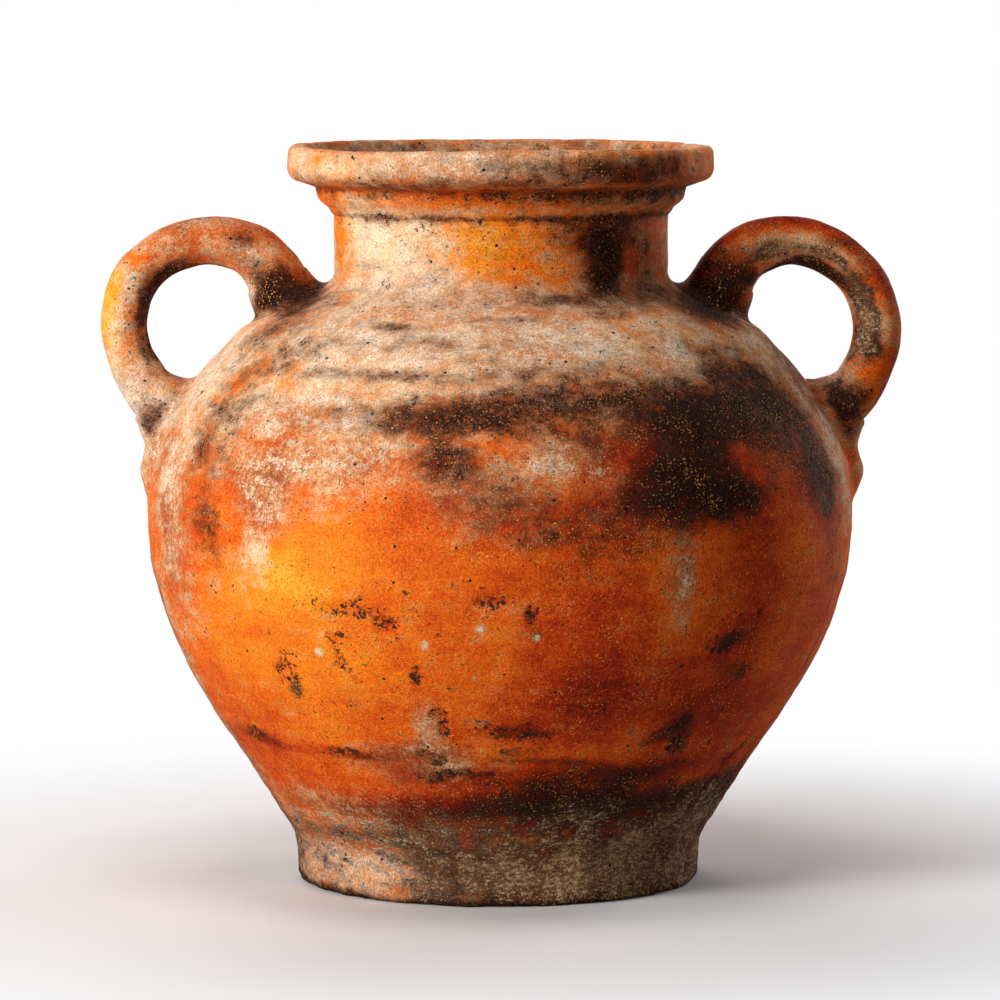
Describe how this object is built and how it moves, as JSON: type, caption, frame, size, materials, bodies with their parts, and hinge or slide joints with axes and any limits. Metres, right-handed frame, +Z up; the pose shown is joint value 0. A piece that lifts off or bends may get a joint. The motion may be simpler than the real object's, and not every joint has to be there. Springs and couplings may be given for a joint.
{
  "type": "amphora",
  "caption": "Round-bellied two-handled terracotta jar with a wide collared mouth, a short neck, a low ring foot and rod handles looped from shoulder to belly.",
  "frame": {"origin": "centre of the resting face, under the foot", "axes": "+Z up through the mouth; the handles lie along X, right handle at +X; -Y is the front"},
  "size_m": [0.435, 0.384, 0.4],
  "materials": {
    "body_clay": "unglazed fired terracotta, orange with dark firing clouds and pale bloom, matt to softly burnished",
    "rim_clay": "unglazed terracotta, paler, with cream bloom and soot in the grooves, matt",
    "handle_clay": "unglazed terracotta rubbed by hands, soot in the hollows, matt",
    "foot_clay": "weathered terracotta with grey-brown lime and soil crust, rough",
    "inside_clay": "raw terracotta, dusty brown, matt"
  },
  "bodies": {
    "root": {"foot_ring": "foot_clay", "base_disc": "inside_clay", "base_seam_coil": "inside_clay", "lower_wall": "body_clay", "lower_seam_coil": "inside_clay", "belly": "body_clay", "belly_seam_coil": "inside_clay", "shoulder": "body_clay", "neck_seam_coil": "inside_clay", "neck": "rim_clay", "collar_band": "rim_clay", "rim_lip": "rim_clay", "handle_left": "handle_clay", "handle_right": "handle_clay", "handle_left_root": "handle_clay", "handle_right_root": "handle_clay", "handle_left_tail": "handle_clay", "handle_right_tail": "handle_clay"}
  },
  "joints": []
}
